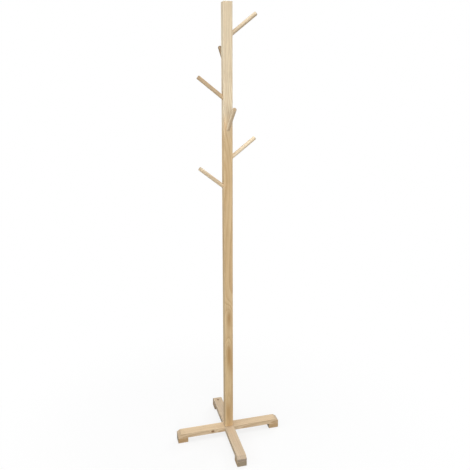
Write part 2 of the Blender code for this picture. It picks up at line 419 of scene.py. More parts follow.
# ------------------------------------------------------------------------------------- node wiring
class Signal:
    """A node's output, on which sums are written in the usual way."""

    def __init__(self, wiring: "Wiring", socket: bpy.types.NodeSocket, wide: bool) -> None:
        """Takes hold of an output; a wide one is a vector."""
        self.wiring, self.socket, self.wide = wiring, socket, wide

    def join(self, operation: str, other: "Feed") -> "Signal":
        """Makes one sum of this value and another.

        Args:
            operation: The sum's name.
            other: The second value; a single number scales a wide one.

        Returns:
            The result.
        """
        if not self.wide:
            return self.wiring.math(operation, self, other)
        narrow = not other.wide if isinstance(other, Signal) else isinstance(other, float)
        scaling = narrow and operation == "MULTIPLY"
        return self.wiring.vector("SCALE" if scaling else operation, self, other)

    def __add__(self, other: "Feed") -> "Signal":
        """The two together."""
        return self.join("ADD", other)

    def __sub__(self, other: "Feed") -> "Signal":
        """This one less the other."""
        return self.join("SUBTRACT", other)

    def __mul__(self, other: "Feed") -> "Signal":
        """This one times the other."""
        return self.join("MULTIPLY", other)

    def __truediv__(self, other: "Feed") -> "Signal":
        """This one over the other."""
        return self.join("DIVIDE", other)

    def dot(self, other: "Feed") -> "Signal":
        """How far this one reaches along the other."""
        return self.wiring.vector("DOT_PRODUCT", self, other)

    @property
    def length(self) -> "Signal":
        """How long it is."""
        return self.wiring.vector("LENGTH", self)


Feed = Signal | float | tuple | Vector


class Wiring:
    """Adds and joins the nodes of one tree."""

    def __init__(self, tree: bpy.types.NodeTree) -> None:
        """Takes hold of a material's tree or a group's."""
        self.tree = tree

    def add(self, kind: str, **settings: object) -> bpy.types.Node:
        """Adds one node.

        Args:
            kind: The node's type name, without its leading word.
            settings: Properties to set on it.

        Returns:
            The new node.
        """
        node = self.tree.nodes.new("ShaderNode" + kind)
        for name, value in settings.items():
            setattr(node, name, value)
        return node

    def feed(self, socket: bpy.types.NodeSocket, value: Feed) -> None:
        """Links an output to a socket, or sets the socket's own value.

        Args:
            socket: The input.
            value: Another node's output, or a plain value.
        """
        if isinstance(value, Signal):
            self.tree.links.new(value.socket, socket)
        elif socket.type == "RGBA":
            socket.default_value = (*value, 1.0)
        else:
            socket.default_value = value

    def feed_all(self, node: bpy.types.Node, feeds: dict[str | int, Feed]) -> bpy.types.Node:
        """Feeds several inputs of one node.

        Args:
            node: The node.
            feeds: What each input gets.

        Returns:
            The same node.
        """
        for name, value in feeds.items():
            self.feed(node.inputs[name], value)
        return node

    def out(self, node: bpy.types.Node, name: str | int = 0) -> Signal:
        """Takes one of a node's outputs."""
        socket = node.outputs[name]
        return Signal(self, socket, socket.type == "VECTOR")

    def put(self, kind: str, feeds: dict[str | int, Feed], output: str | int = 0, **settings: object) -> Signal:
        """Adds one node, feeds it and takes its result.

        Args:
            kind: The node's type name, without its leading word.
            feeds: What each input gets.
            output: The output that is wanted.
            settings: Properties to set on the node.

        Returns:
            The output.
        """
        return self.out(self.feed_all(self.add(kind, **settings), feeds), output)

    def group(self, tree: bpy.types.NodeTree, feeds: dict[str | int, Feed]) -> bpy.types.Node:
        """Places a shared group and feeds it by its inputs' names."""
        return self.feed_all(self.add("Group", node_tree=tree), feeds)

    def math(self, operation: str, first: Feed, second: Feed = 0.0, clamp: bool = False) -> Signal:
        """One sum on two numbers, which `clamp` keeps between 0 and 1."""
        return self.put("Math", {0: first, 1: second}, operation=operation, use_clamp=clamp)

    def vector(self, operation: str, first: Feed, second: Feed = (0.0, 0.0, 0.0)) -> Signal:
        """One sum on two vectors.

        Args:
            operation: The sum's name.
            first: The first vector.
            second: The second vector, or the factor of a scaling.

        Returns:
            The result, a number for a length or a dot product.
        """
        entry = "Scale" if operation == "SCALE" else 1
        result = "Value" if operation in ("LENGTH", "DOT_PRODUCT") else "Vector"
        return self.put("VectorMath", {0: first, entry: second}, result, operation=operation)

    def remap(self, value: Feed, low: float, high: float, start: float = 0.0, end: float = 1.0) -> Signal:
        """A smooth step from `start` to `end` while the value goes from `low` to `high`."""
        feeds = {"Value": value, "From Min": low, "From Max": high, "To Min": start, "To Max": end}
        return self.put("MapRange", feeds, "Result", interpolation_type="SMOOTHSTEP")

    def clouds(self, place: Signal, cells: Point, detail: float) -> bpy.types.Node:
        """The noise that the next two draw on."""
        return self.feed_all(self.add("TexNoise"), {"Vector": place * cells, "Scale": 1.0, "Detail": detail})

    def noise(self, place: Signal, cells: Point, detail: float = 2.0) -> Signal:
        """Cloudy variation about 0.5, with so many cells to the metre along each axis."""
        return self.out(self.clouds(place, cells, detail), "Fac")

    def swirl(self, place: Signal, cells: Point, detail: float = 1.0) -> Signal:
        """Cloudy variation of a vector about zero."""
        return Signal(self, self.clouds(place, cells, detail).outputs["Color"], True) - (0.5, 0.5, 0.5)

    def mix(self, share: Feed, first: Feed, second: Feed, blend: str = "MIX") -> Signal:
        """Two colours mixed, with so large a share of the second."""
        return self.put("Mix", {0: share, 6: first, 7: second}, 2, data_type="RGBA", blend_type=blend)

    def ramp(self, value: Feed, stops: tuple[tuple[float, float], ...]) -> Signal:
        """A grey curve through a few stops.

        Args:
            value: What is read, from 0 to 1.
            stops: Pairs of place and height.

        Returns:
            The curve's height.
        """
        node = self.add("ValToRGB")
        curve = node.color_ramp
        while len(curve.elements) < len(stops):
            curve.elements.new(0.5)
        for element, (place, height) in zip(curve.elements, stops):
            element.position = place
            element.color = (height, height, height, 1.0)
        self.feed(node.inputs["Fac"], value)
        return self.out(node, "Color")

    def bump(self, shader: bpy.types.Node, height: Signal, strength: float, distance: float) -> None:
        """Raises the surface by a height.

        Args:
            shader: The material's shader.
            height: The height.
            strength: How much of it shows.
            distance: How far it reaches, in metres.
        """
        node = self.add("Bump")
        node.inputs["Strength"].default_value = strength
        node.inputs["Distance"].default_value = distance
        self.feed(node.inputs["Height"], height)
        self.feed(shader.inputs["Normal"], self.out(node, "Normal"))


def make_group(name: str, inputs: dict[str, str], outputs: dict[str, str]) -> tuple[Wiring, dict, dict]:
    """Starts a shader node group with named sockets.

    Args:
        name: The group's name.
        inputs: Each type, Float, Vector or Color, with the names of its inputs between commas.
        outputs: The same for the outputs.

    Returns:
        The group's wiring, what comes in by name, and where results go by name.
    """
    tree = bpy.data.node_groups.new(name, "ShaderNodeTree")
    for way, sockets in (("INPUT", inputs), ("OUTPUT", outputs)):
        for kind, titles in sockets.items():
            for title in titles.split(", "):
                tree.interface.new_socket(title, in_out=way, socket_type="NodeSocket" + kind)
    wiring = Wiring(tree)
    way_in = tree.nodes.new("NodeGroupInput")
    way_out = tree.nodes.new("NodeGroupOutput")
    given = {socket.name: wiring.out(way_in, socket.name) for socket in way_in.outputs if socket.name}
    return wiring, given, {socket.name: socket for socket in way_out.inputs if socket.name}


def start_finish(name: str) -> tuple[bpy.types.Material, Wiring, bpy.types.Node]:
    """Starts a material.

    Args:
        name: Its name.

    Returns:
        The material, its wiring and its shader.
    """
    finish = bpy.data.materials.new(name)
    finish.use_nodes = True
    return finish, Wiring(finish.node_tree), finish.node_tree.nodes["Principled BSDF"]


# ------------------------------------------------------------------------------------- effects
class Effects:
    """The shared effects that the finishes draw on, each a node group built once."""

    def __init__(self) -> None:
        """Builds every group."""
        self.timber = self.build_timber()
        self.knot = self.build_knot()
        self.knot_tint = self.build_knot_tint()
        self.edges = self.build_edges()
        self.metal = self.build_metal()

    @staticmethod
    def build_timber() -> bpy.types.NodeTree:
        """Softwood that is the same all through: growth rings round a pith along Z, fibres, flecks and end grain.

        Returns:
            The group.
        """
        wiring, given, result = make_group(
            "timber",
            {
                "Vector": "Place",
                "Float": "Ring Pitch, Wander, Push, Heart, Figure, Contrast, End Grain",
                "Color": "Early, Deep, Late, Honey, End Tint",
            },
            {"Color": "Color", "Float": "Roughness, Height"},
        )
        place = given["Place"]
        drift = wiring.swirl(place, (9.0, 9.0, 1.7), 1.5) * given["Wander"]
        waver = wiring.swirl(place, (85.0, 85.0, 7.0)) * 0.0011
        level = (place + drift + waver) * (1.0, 1.0, 0.0)
        count = (level.length + given["Push"]) / given["Ring Pitch"]
        uneven = wiring.noise(wiring.put("CombineXYZ", {"X": count}), (0.45, 1.0, 1.0), 1.0)
        count = count + uneven * 1.6
        part = wiring.math("FRACT", count)
        late = wiring.ramp(part, ((0.0, 0.0), (0.42, 0.10), (0.74, 0.62), (0.88, 1.0), (0.95, 0.80), (1.0, 0.0)))
        year = wiring.put("TexWhiteNoise", {"W": wiring.math("FLOOR", count)}, "Value", noise_dimensions="1D")
        late = late * wiring.remap(year, 0.0, 1.0, 0.5, 1.0)
        late = wiring.math("MULTIPLY", late, given["Contrast"], clamp=True)

        patch = wiring.noise(place, (16.0, 16.0, 2.4))
        honey = wiring.remap(patch, 0.38, 0.68) * given["Heart"] * 0.7
        honey = wiring.math("ADD", honey, given["Figure"], clamp=True)
        fibre = wiring.noise(place, (950.0, 950.0, 16.0), 3.0)
        thread = wiring.noise(place, (330.0, 330.0, 6.0))
        fleck = wiring.noise(place, (1500.0, 1500.0, 85.0), 1.0)
        fleck = wiring.remap(fleck, 0.66, 0.74) * wiring.remap(part, 0.35, 0.8)

        body = wiring.mix(given["Heart"], given["Early"], given["Deep"])
        body = wiring.mix(honey, body, given["Honey"])
        body = wiring.mix(late, body, given["Late"])
        light = wiring.remap(fibre, 0.3, 0.7, 0.93, 1.05) * wiring.remap(thread, 0.3, 0.7, 0.955, 1.035)
        light = light * wiring.remap(fleck, 0.0, 1.0, 1.0, 0.72)
        tone = wiring.put("CombineColor", {channel: light for channel in range(3)})
        body = wiring.mix(1.0, body, tone, "MULTIPLY")
        wiring.feed(result["Color"], wiring.mix(given["End Grain"], body, given["End Tint"], "MULTIPLY"))

        rough = wiring.remap(fibre, 0.3, 0.7, 0.50, 0.64) - late * 0.08
        wiring.feed(result["Roughness"], rough + given["End Grain"] * 0.14)
        wiring.feed(result["Height"], late * 0.35 + fibre * 0.55 - fleck * 0.5)
        return wiring.tree

    @staticmethod
    def build_knot() -> bpy.types.NodeTree:
        """A branch that runs through the timber in a straight line, and the way it pushes the rings aside.

        Returns:
            The group.
        """
        wiring, given, result = make_group(
            "knot",
            {"Vector": "Place, Centre, Branch, Grain", "Float": "Radius, Ahead, Behind"},
            {"Float": "Push, Core, Rim, Whorl, Glow"},
        )
        wobble = wiring.swirl(given["Place"], (160.0, 160.0, 160.0)) * 0.0018
        offset = given["Place"] - given["Centre"] + wobble
        across = offset - given["Branch"] * offset.dot(given["Branch"])
        lengthwise = across.dot(given["Grain"])
        ahead = wiring.math("MAXIMUM", lengthwise, 0.0) / given["Ahead"]
        behind = wiring.math("MINIMUM", lengthwise, 0.0) / given["Behind"]
        distance = (across - given["Grain"] * (lengthwise - (ahead + behind))).length
        share = distance / given["Radius"]
        square = share * share
        wiring.feed(result["Push"], wiring.math("EXPONENT", square * -0.22) * given["Radius"] * 1.5)
        wiring.feed(result["Glow"], wiring.math("EXPONENT", square * -1.1))
        wiring.feed(result["Core"], wiring.remap(share, 1.06, 0.86))
        wiring.feed(result["Rim"], wiring.remap(share, 0.74, 0.98) * wiring.remap(share, 1.45, 0.98))
        wiring.feed(result["Whorl"], wiring.remap(wiring.math("SINE", distance * 5200.0), -1.0, 1.0))
        return wiring.tree

    @staticmethod
    def build_knot_tint() -> bpy.types.NodeTree:
        """The colour of a knot laid over the timber round it.

        Returns:
            The group.
        """
        wiring, given, result = make_group(
            "knot_tint",
            {"Color": "Color", "Float": "Core, Rim, Whorl, Strength"},
            {"Color": "Color"},
        )
        wood = wiring.mix(given["Whorl"], srgb(150, 96, 52), srgb(116, 70, 36))
        colour = wiring.mix(given["Core"] * given["Strength"], given["Color"], wood)
        rim = given["Rim"] * given["Strength"] * 0.75
        wiring.feed(result["Color"], wiring.mix(rim, colour, srgb(104, 64, 34)))
        return wiring.tree

    @staticmethod
    def build_edges() -> bpy.types.NodeTree:
        """How near a point is to an edge of a square-sawn piece, a little uneven as from handling.

        Returns:
            The group.
        """
        wiring, given, result = make_group(
            "edges",
            {"Vector": "Place, Centre, Half", "Float": "Width"},
            {"Float": "Wear"},
        )
        inward = given["Half"] - wiring.vector("ABSOLUTE", given["Place"] - given["Centre"])
        parts = wiring.feed_all(wiring.add("SeparateXYZ"), {0: inward})
        x, y, z = (wiring.out(parts, axis) for axis in "XYZ")
        furthest = wiring.math("MAXIMUM", wiring.math("MAXIMUM", x, y), z)
        ragged = wiring.noise(given["Place"], (140.0, 140.0, 140.0), 3.0)
        width = given["Width"] * wiring.remap(ragged, 0.3, 0.75, 0.35, 1.7)
        wiring.feed(result["Wear"], wiring.remap((x + y + z - furthest) / width, 1.0, 0.0))
        return wiring.tree

    @staticmethod
    def build_metal() -> bpy.types.NodeTree:
        """Small turned metal: drawn scratches, cloudy plating and rubbed spots.

        Returns:
            The group.
        """
        wiring, given, result = make_group(
            "metal",
            {"Vector": "Place", "Color": "Bright, Dull", "Float": "Polish"},
            {"Color": "Color", "Float": "Roughness, Height"},
        )
        cloud = wiring.noise(given["Place"], (260.0, 260.0, 260.0), 4.0)
        scratch = wiring.noise(given["Place"], (700.0, 700.0, 6000.0))
        share = wiring.remap(cloud, 0.35, 0.65)
        wiring.feed(result["Color"], wiring.mix(share, given["Bright"], given["Dull"]))
        rough = given["Polish"] + share * 0.12 + wiring.remap(scratch, 0.35, 0.65, -0.04, 0.06)
        wiring.feed(result["Roughness"], rough)
        wiring.feed(result["Height"], scratch + cloud * 0.5)
        return wiring.tree


# ------------------------------------------------------------------------------------- finishes
@dataclass(frozen=True)
class Mark:
    """A spot where a branch bends the rings: its centre, the way it runs, and its radius across the grain.

    It reaches `ahead` and `behind` times further along the grain. On a knot, `depth` is how dark it is. On a
    figure, a long arch on a flat-sawn face, it is how much honey tint is added, or taken away if negative.
    """

    centre: Point
    across: Point
    radius: float
    ahead: float
    behind: float
    depth: float


@dataclass(frozen=True)
class Timber:
    """The look of one piece of wood.

    The grain runs along `grain`, and the middle of the tree lies `pith` away across it. `lean` is how many
    degrees the saw wandered from the grain, and it sets how long the arches on the flat-sawn faces are.
    `heart` is the share of honey-coloured heartwood, which dies out between the two heights given for its fade; on
    the post that fade is partly painted shade, the wood deeper below the upper pegs.
    `solid` names the square solid whose arrises are rubbed.
    """

    name: str
    grain: Vector
    pith: tuple[float, float]
    ring_pitch: float
    early: Colour
    deep: Colour = srgb(216, 188, 146)
    late: Colour = srgb(190, 150, 98)
    honey: Colour = srgb(203, 166, 116)
    end_tint: Colour = (0.66, 0.64, 0.64)
    middle: Vector = field(default_factory=Vector)
    shift: float = 0.0
    lean: float = 1.2
    wander: float = 0.010
    contrast: float = 0.85
    heart: float = 0.5
    heart_and_shade_fade: tuple[float, float] | None = None
    knots: tuple[Mark, ...] = ()
    figures: tuple[Mark, ...] = ()
    solid: str = ""

    def turn(self) -> Matrix:
        """The turn that lays the grain along Z, with the saw's lean."""
        upright = self.grain.rotation_difference(UP).to_matrix()
        return Euler((math.radians(self.lean), math.radians(self.lean * 0.6), 0.0)).to_matrix() @ upright

    def material(self, effects: Effects) -> bpy.types.Material:
        """Mixes this timber's material.

        Args:
            effects: The shared groups.

        Returns:
            The material.
        """
        finish, wiring, shader = start_finish(self.name)
        here = wiring.add("TexCoord")
        place = wiring.out(here, "Object")
        turn = self.turn()
        origin = Vector((*self.pith, self.shift)) - turn @ self.middle
        laid = {"Vector": place, "Rotation": turn.to_euler(), "Location": origin}
        facing = wiring.math("ABSOLUTE", wiring.out(here, "Normal").dot(self.grain))
        feeds = {
            "Place": wiring.put("Mapping", laid, vector_type="POINT"),
            "Ring Pitch": self.ring_pitch,
            "Wander": self.wander,
            "Contrast": self.contrast,
            "Early": self.early,
            "Deep": self.deep,
            "Late": self.late,
            "Honey": self.honey,
            "End Tint": self.end_tint,
            "Heart": self.heart_and_shade_share(wiring, place),
            "End Grain": wiring.remap(facing, 0.3, 0.85),
        }
        timber = wiring.group(effects.timber, feeds)

        colour = wiring.out(timber, "Color")
        push: Feed = 0.0
        glow: Feed = 0.0
        for figure in self.figures:
            bend = self.bend(wiring, effects, place, figure)
            push = wiring.out(bend, "Push") + push
            glow = wiring.out(bend, "Glow") * figure.depth + glow
        for knot in self.knots:
            bend = self.bend(wiring, effects, place, knot)
            push = wiring.out(bend, "Push") + push
            shares = {title: wiring.out(bend, title) for title in ("Core", "Rim", "Whorl")}
            tint = wiring.group(effects.knot_tint, {"Color": colour, "Strength": knot.depth, **shares})
            colour = wiring.out(tint, "Color")
        wiring.feed_all(timber, {"Figure": glow, "Push": push})

        wiring.feed(shader.inputs["Base Color"], self.wear(wiring, effects, place, colour))
        wiring.feed(shader.inputs["Roughness"], wiring.out(timber, "Roughness"))
        shader.inputs["Coat Weight"].default_value = 0.12
        shader.inputs["Coat Roughness"].default_value = 0.38
        wiring.bump(shader, wiring.out(timber, "Height"), 0.35, 0.0004)
        return finish

    def bend(self, wiring: Wiring, effects: Effects, place: Signal, mark: Mark) -> bpy.types.Node:
        """Places the group that bends the rings round one spot.

        Args:
            wiring: The material's wiring.
            effects: The shared groups.
            place: The point on the piece.
            mark: The spot.

        Returns:
            The group's node.
        """
        feeds = {
            "Place": place,
            "Centre": mark.centre,
            "Branch": Vector(mark.across).normalized(),
            "Grain": self.grain,
            "Radius": mark.radius,
            "Ahead": mark.ahead,
            "Behind": mark.behind,
        }
        return wiring.group(effects.knot, feeds)

    def heart_and_shade_share(self, wiring: Wiring, place: Signal) -> Feed:
        """How much honey-coloured heartwood shows; on the post its fade with height is partly painted shade.

        Args:
            wiring: The material's wiring.
            place: The point on the piece.

        Returns:
            The share, from 0 to 1.
        """
        if self.heart_and_shade_fade is None:
            return self.heart
        return wiring.remap(place.dot(self.grain), *self.heart_and_shade_fade, self.heart, 0.0)

    def wear(self, wiring: Wiring, effects: Effects, place: Signal, colour: Signal) -> Signal:
        """Lays handling marks over the colour: a faint soiling, and arrises that are rubbed pale.

        Args:
            wiring: The material's wiring.
            effects: The shared groups.
            place: The point on the piece.
            colour: The timber's colour.

        Returns:
            The worn colour.
        """
        soil = wiring.remap(wiring.noise(place, (26.0, 26.0, 26.0), 3.0), 0.5, 0.8)
        colour = wiring.mix(soil * 0.10, colour, srgb(150, 118, 84))
        if not self.solid:
            return colour
        low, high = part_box(self.solid)
        feeds = {"Place": place, "Centre": (low + high) / 2, "Half": (high - low) / 2, "Width": RUBBED_WIDTH}
        edges = wiring.group(effects.edges, feeds)
        return wiring.mix(wiring.out(edges, "Wear") * 0.35, colour, srgb(238, 222, 194))


@dataclass(frozen=True)
class Metal:
    """The look of one small metal fixing."""

    name: str
    bright: Colour
    dull: Colour
    polish: float

    def material(self, effects: Effects) -> bpy.types.Material:
        """Mixes this metal's material.

        Args:
            effects: The shared groups.

        Returns:
            The material.
        """
        finish, wiring, shader = start_finish(self.name)
        place = wiring.out(wiring.add("TexCoord"), "Object")
        feeds = {"Place": place, "Bright": self.bright, "Dull": self.dull, "Polish": self.polish}
        group = wiring.group(effects.metal, feeds)
        wiring.feed(shader.inputs["Base Color"], wiring.out(group, "Color"))
        wiring.feed(shader.inputs["Roughness"], wiring.out(group, "Roughness"))
        shader.inputs["Metallic"].default_value = 1.0
        wiring.bump(shader, wiring.out(group, "Height"), 0.25, 0.00008)
        return finish


@dataclass(frozen=True)
class Felt:
    """The look of the pressed wool felt under the feet."""

    name: str = "felt"
    light: Colour = srgb(122, 112, 100)
    dark: Colour = srgb(78, 70, 62)

    def material(self) -> bpy.types.Material:
        """Mixes the felt's material.

        Returns:
            The material.
        """
        finish, wiring, shader = start_finish(self.name)
        place = wiring.out(wiring.add("TexCoord"), "Object")
        place = place + wiring.swirl(place, (420.0, 420.0, 420.0)) * 0.004
        hair = wiring.noise(place, (2600.0, 500.0, 2600.0))
        cross = wiring.noise(place, (500.0, 2600.0, 2600.0))
        fuzz = wiring.math("MAXIMUM", hair, cross)
        wiring.feed(shader.inputs["Base Color"], wiring.mix(wiring.remap(fuzz, 0.45, 0.72), self.dark, self.light))
        wiring.feed(shader.inputs["Roughness"], wiring.remap(fuzz, 0.4, 0.7, 0.88, 1.0))
        shader.inputs["Sheen Weight"].default_value = 0.35
        shader.inputs["Sheen Roughness"].default_value = 0.6
        wiring.bump(shader, fuzz, 0.8, 0.0003)
        return finish


@dataclass(frozen=True)
class PegSeat:
    """Where one peg leaves the post, and how pale and how light in tone its wood is; on the back peg the tone is
    partly painted shade.
    """

    number: int
    side: Side
    paleness: float
    tone: float
    height: float
    face: float

    @property
    def node(self) -> str:
        """The peg's name."""
        return f"peg_{self.number}_{self.side.word}"

    @property
    def axis(self) -> Vector:
        """The direction in which the peg leans out and up."""
        tilt = math.radians(PEG_RISE)
        return self.side.outward * math.cos(tilt) + UP * math.sin(tilt)

    @property
    def mouth(self) -> Vector:
        """The point where the peg's axis leaves the post's face."""
        return self.side.outward * self.face + UP * self.height

    def matrix(self) -> Matrix:
        """The frame whose Z axis runs out along the peg from the post's face.

        Returns:
            The frame.
        """
        turn = Matrix.Rotation(math.radians(self.side.value), 4, "Z")
        lean = Matrix.Rotation(math.radians(90.0 - PEG_RISE), 4, "Y")
        return Matrix.Translation(self.mouth) @ turn @ lean

    def rims(self, point: Vector) -> bool:
        """Says whether a point is where the peg's bore breaks out of the post's face.

        Args:
            point: The point.

        Returns:
            Whether it lies on the bore's mouth.
        """
        offset = point - self.mouth
        distance = (offset - self.axis * offset.dot(self.axis)).length
        on_face = abs(offset.dot(self.side.outward)) < TOUCH
        return on_face and abs(distance - PEG_RADIUS - FIT_GAP) < RIM_TOUCH


# ------------------------------------------------------------------------------------- the post
@dataclass
class Post:
    """The square post, with its bores for the pegs and for the fixings in its foot."""

    effects: Effects
    seats: list[PegSeat]
    arris: float = 0.0012
    rim_ease: float = 0.0004
    bolt_end_space: float = 0.003

    def build(self) -> bpy.types.Object:
        """Planes the post and bores it.

        Returns:
            The finished post.
        """
        low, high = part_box("post")
        post = start_box("post_planed", low, high)
        round_off(post, self.arris, 4, every_edge)
        for seat in self.seats:
            cutter = start_rod("bore", PEG_RADIUS + FIT_GAP, -PEG_SOCKET, PEG_CUTTER, 64)
            combine(post, stand_on(cutter, seat.matrix()), Cut.AWAY)
        below = low.z - OVERRUN
        bore(post, INSERT_RADIUS, below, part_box("threaded_insert")[1].z + FIT_GAP, 48)
        bore(post, BOLT_RADIUS, below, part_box("centre_bolt")[1].z + self.bolt_end_space, 48)
        bore_dowels(post, below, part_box("locating_dowel_a")[1].z + FIT_GAP)
        round_off(post, self.rim_ease, 2, self.on_rim)
        smooth_faces(post)
        return post

    def on_rim(self, edge: bmesh.types.BMEdge) -> bool:
        """Says whether an edge is where a peg's bore breaks out of the post's face."""
        return any(all(seat.rims(vert.co) for vert in edge.verts) for seat in self.seats)

    def make(self) -> None:
        """Builds the post, paler towards its top (partly its wood, partly painted shade below the upper pegs) and
        with arches on its front lower down, and installs it.
        """
        timber = Timber(
            name="post_wood",
            grain=UP.copy(),
            pith=(0.004, -0.052),
            lean=-1.6,
            ring_pitch=0.0040,
            early=srgb(234, 217, 186),
            deep=srgb(223, 195, 150),
            late=srgb(190, 150, 100),
            honey=srgb(186, 148, 98),
            contrast=0.6,
            heart=1.0,
            # The heartwood fade between these heights is partly painted shade: the post is deeper below what hangs
            # on the upper pegs.
            heart_and_shade_fade=(1.27, 1.39),
            figures=(
                Mark((0.000, 0.0, 1.160), (0.0, 1.0, 0.0), 0.0130, 8.0, 11.0, 0.34),
                Mark((0.001, 0.0, 0.560), (0.0, 1.0, 0.0), 0.0092, 3.6, 5.5, 0.95),
                Mark((-0.001, 0.0, 0.402), (0.0, 1.0, 0.0), 0.0096, 3.4, 6.0, 0.95),
                Mark((0.002, 0.0, 0.262), (0.0, 1.0, 0.0), 0.0110, 5.0, 6.0, -0.45),
                Mark((-0.003, 0.0, 0.125), (0.1, 1.0, 0.0), 0.0090, 4.5, 7.5, 0.75),
            ),
            solid="post",
        )
        install(self.build(), "post", timber.material(self.effects))


# ------------------------------------------------------------------------------------- the pegs
@dataclass
class Pegs:
    """The six round pegs; each row gives a peg's side, how pale its wood is, and its tone, which on the back peg
    is partly painted shade.
    """

    effects: Effects
    reach: float = 0.116
    first_drop: float = 0.106
    pitch: float = 0.110
    end_round: float = 0.0016
    tail_chamfer: float = 0.0008
    end_dish: float = 0.00005
    rows: tuple[tuple[Side, float, float], ...] = (
        (Side.RIGHT, 0.8, 0.97),
        # Peg 2 at the back: paleness 0.0 and tone 0.60 darken it, partly as darker wood and partly as painted
        # shade behind the post.
        (Side.BACK, 0.0, 0.60),
        (Side.LEFT, 0.3, 0.95),
        (Side.FRONT, 0.75, 1.12),
        (Side.RIGHT, 1.0, 1.13),
        (Side.LEFT, 0.75, 1.0),
    )

    def seats(self) -> list[PegSeat]:
        """Works out every peg's seat.

        Returns:
            The seats, from the top down.
        """
        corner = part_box("post")[1]
        top = corner.z - self.first_drop
        return [PegSeat(i + 1, *row, top - i * self.pitch, corner.x) for i, row in enumerate(self.rows)]

    def turned(self) -> bpy.types.Object:
        """Turns one peg on the Z axis, with a rounded outer end and a chamfered inner one.

        Returns:
            The peg.
        """
        tail = FIT_GAP - PEG_SOCKET
        peg = start_rod("peg", PEG_RADIUS, tail, self.reach, 64)
        round_off(peg, self.end_round, 5, ring_at(self.reach))
        round_off(peg, self.tail_chamfer, 2, ring_at(tail))
        with editing(peg):
            pick(peg, Kind.FACES, lambda face: len(face.verts) > 32 and face.normal.z > 0.9)
            for share in (0.186, 0.15):
                bpy.ops.mesh.inset(thickness=(PEG_RADIUS - self.end_round) * share, depth=self.end_dish)
        smooth_faces(peg)
        return peg

    def finish(self, seat: PegSeat) -> bpy.types.Material:
        """One peg's timber; each was cut from another place in the tree, and its tone scales its colours, which
        darkens the back peg partly as painted shade.

        Args:
            seat: The peg's seat.

        Returns:
            The material.
        """
        shades = (srgb(238, 222, 193), srgb(194, 168, 132), srgb(180, 142, 96), srgb(186, 148, 102))
        # The tone scales every colour of the peg; on the back peg it is partly painted shade.
        early, deep, late, honey = (tuple(channel * seat.tone for channel in shade) for shade in shades)
        timber = Timber(
            name=f"peg_wood_{seat.number}",
            grain=seat.axis,
            pith=(0.006 + 0.006 * seat.paleness, 0.016 - 0.005 * seat.number),
            middle=seat.mouth,
            shift=0.37 * seat.number,
            lean=0.8 + 0.4 * seat.paleness,
            ring_pitch=0.0024,
            wander=0.006,
            early=early,
            deep=deep,
            late=late,
            honey=honey,
            heart=1.0 - seat.paleness,
            end_tint=(0.60, 0.55, 0.50),
        )
        return timber.material(self.effects)

    def make(self, seats: list[PegSeat]) -> None:
        """Builds every peg and puts it on the rack.

        Args:
            seats: The pegs' seats.
        """
        pattern = self.turned()
        for seat in seats:
            peg = stand_on(copy_of(pattern, f"{seat.node}_turned"), seat.matrix())
            install(peg, seat.node, self.finish(seat))
        bpy.data.objects.remove(pattern, do_unlink=True)


# ------------------------------------------------------------------------------------- the base
@dataclass(frozen=True)
class Beam:
    """One beam: its solid, the one it crosses, whether its notch is in its top, and how its wood looks."""

    node: str
    other: str
    notch_on_top: bool
    along: Vector
    ends: tuple[Side, Side]
    pith: tuple[float, float]
    early: Colour
    deep: Colour
    knot: Mark


